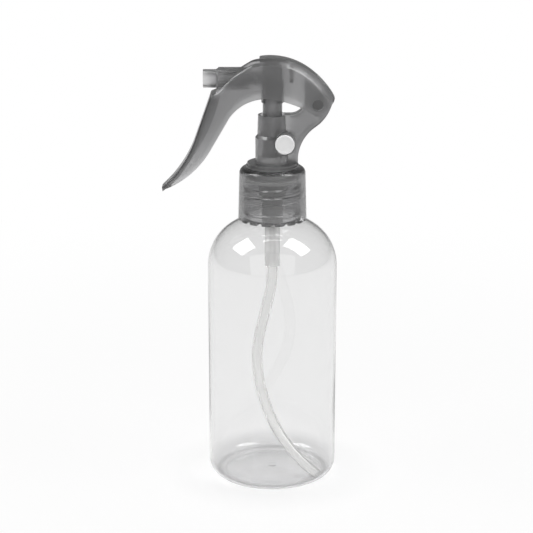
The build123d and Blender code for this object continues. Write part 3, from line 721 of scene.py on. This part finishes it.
def floor_paper():
    """White paper: lamps light it and the mister shades it, and it fades to plain white."""
    s = Shading("floor_paper")
    s.surface(Base_Color=studio().floor_colour, Roughness=0.9, Specular_IOR_Level=0.1)
    foot, open_floor = FOOT_RADII
    under, near, reach = studio().floor_white_under, studio().floor_white_near, studio().floor_white_reach
    by_foot = s.outwards(ROUND_Z, ORIGIN, foot, open_floor, under, near)
    white = s.maths("ADD", by_foot, s.outwards(ROUND_Z, ORIGIN, open_floor, reach, 0.0, 1.0 - near))
    path = s.add("ShaderNodeLightPath")
    through = s.maths("MULTIPLY", path.outputs["Is Transmission Ray"], studio().floor_white_through)
    mirrored = s.maths("MULTIPLY", path.outputs["Is Glossy Ray"], studio().floor_white_mirrored)
    seen = s.maths("MAXIMUM", path.outputs["Is Camera Ray"], s.maths("MAXIMUM", through, mirrored))
    plain = s.add("ShaderNodeEmission")
    s.mix(s.maths("MULTIPLY", seen, white), s.shader.outputs["BSDF"], plain.outputs["Emission"])
    return s.material


# ---------------------------------------------------------------- pieces


class MISTER_OT_camera(bpy.types.Operator):
    """Set up the camera"""

    bl_idname = "mister.camera"
    bl_label = "Camera"

    def execute(self, context):
        bpy.ops.object.camera_add(location=studio().camera_place)
        camera = context.object
        camera.rotation_euler = (radians(90) - studio().camera_tilt, 0, 0)
        camera.data.lens = studio().lens
        camera.data.sensor_width = FRAME_WIDTH
        context.scene.camera = camera
        return {"FINISHED"}


class MISTER_OT_sprayer(bpy.types.Operator):
    """Dress the sprayer's smoke plastic pieces"""

    bl_idname = "mister.sprayer"
    bl_label = "Sprayer"

    def execute(self, context):
        dress(("sprayer_body",), body_plastic())
        dress(("spray_head", "stem"), head_plastic())
        dress(("trigger",), hood_plastic())
        dress(("closure",), closure_plastic())
        dress(("nozzle_cap",), nozzle_plastic())
        dress(("lock_button",), white_plastic())
        return {"FINISHED"}


class MISTER_OT_bottle(bpy.types.Operator):
    """Dress the clear bottle"""

    bl_idname = "mister.bottle"
    bl_label = "Bottle"

    def execute(self, context):
        dress(("bottle",), clear_plastic())
        return {"FINISHED"}


class MISTER_OT_pump(bpy.types.Operator):
    """Dress the pump parts inside"""

    bl_idname = "mister.pump"
    bl_label = "Pump"

    def execute(self, context):
        moulded = ("pump_housing", "piston", "piston_rod", "guide_collar", "swirl_insert")
        dress(moulded, natural_plastic())
        dress(("dip_tube",), tube_plastic())
        dress(("neck_gasket", "stem_wiper"), seal_rubber())
        dress(("return_spring", "inlet_ball", "outlet_ball"), bright_steel())
        self.load_spring()
        return {"FINISHED"}

    def load_spring(self):
        """Give the return spring a mesh of its own."""
        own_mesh(nodes["return_spring"])


class MISTER_OT_studio(bpy.types.Operator):
    """Set up the floor and the lights"""

    bl_idname = "mister.studio"
    bl_label = "Studio"

    def execute(self, context):
        bpy.ops.mesh.primitive_plane_add(size=2 * studio().floor_half)
        floor = context.object
        floor.name = "studio_floor"
        floor.data.materials.append(floor_paper())
        for name, setting, *place_and_size in LAMPS:
            self.add_lamp(name, getattr(studio(), setting), *place_and_size)
        context.scene.world = self.studio_air()
        context.scene.view_settings.view_transform = "Standard"
        return {"FINISHED"}

    def studio_air(self):
        """Even light from the room, which the camera sees as plain white."""
        world = bpy.data.worlds.new("studio_air")
        world.use_nodes = True
        tree = world.node_tree
        air = tree.nodes["Background"]
        air.inputs["Strength"].default_value = studio().air
        white = tree.nodes.new("ShaderNodeBackground")
        for light in (air, white):
            light.inputs["Color"].default_value = (1, 1, 1, 1)
        path = tree.nodes.new("ShaderNodeLightPath")
        mix = tree.nodes.new("ShaderNodeMixShader")
        tree.links.new(path.outputs["Is Camera Ray"], mix.inputs["Fac"])
        tree.links.new(air.outputs["Background"], mix.inputs[1])
        tree.links.new(white.outputs["Background"], mix.inputs[2])
        tree.links.new(mix.outputs["Shader"], tree.nodes["World Output"].inputs["Surface"])
        return world

    def add_lamp(self, name, brightness, azimuth, elevation, width, height):
        """Softbox that faces the bottle's shoulder from this direction, azimuth 0 on the camera's side."""
        around, up = radians(azimuth), radians(elevation)
        way = Vector((cos(up) * sin(around), -cos(up) * cos(around), sin(up)))
        bpy.ops.object.light_add(type="AREA", location=LAMP_TARGET + way * studio().lamp_distance)
        lamp = bpy.context.object
        lamp.name = name
        lamp.data.shape = "RECTANGLE"
        lamp.data.size = width
        lamp.data.size_y = height
        lamp.data.energy = brightness * pi * width * height
        lamp.rotation_euler = (-way).to_track_quat("-Z", "Y").to_euler()


class MISTER_PT_panel(bpy.types.Panel):
    """Hand mister"""

    bl_label = "Hand Mister"
    bl_idname = "MISTER_PT_panel"
    bl_space_type = "VIEW_3D"
    bl_region_type = "UI"
    bl_category = "Hand Mister"

    def draw(self, context):
        layout = self.layout
        for step in STEPS:
            layout.operator(step.bl_idname)
        for group in (context.scene.mister_finish, context.scene.mister_studio):
            box = layout.box()
            for key in group.__annotations__:
                box.prop(group, key)


STEPS = (MISTER_OT_camera, MISTER_OT_bottle, MISTER_OT_pump, MISTER_OT_sprayer, MISTER_OT_studio)
CLASSES = (MisterFinish, MisterStudio, *STEPS, MISTER_PT_panel)


def register():
    for cls in CLASSES:
        bpy.utils.register_class(cls)
    bpy.types.Scene.mister_finish = bpy.props.PointerProperty(type=MisterFinish)
    bpy.types.Scene.mister_studio = bpy.props.PointerProperty(type=MisterStudio)


def unregister():
    del bpy.types.Scene.mister_finish
    del bpy.types.Scene.mister_studio
    for cls in reversed(CLASSES):
        bpy.utils.unregister_class(cls)


def main():
    register()
    bpy.ops.object.select_all(action="DESELECT")
    bpy.ops.mister.camera()
    bpy.ops.mister.bottle()
    bpy.ops.mister.pump()
    bpy.ops.mister.sprayer()
    bpy.ops.mister.studio()


if __name__ == "__main__":
    main()
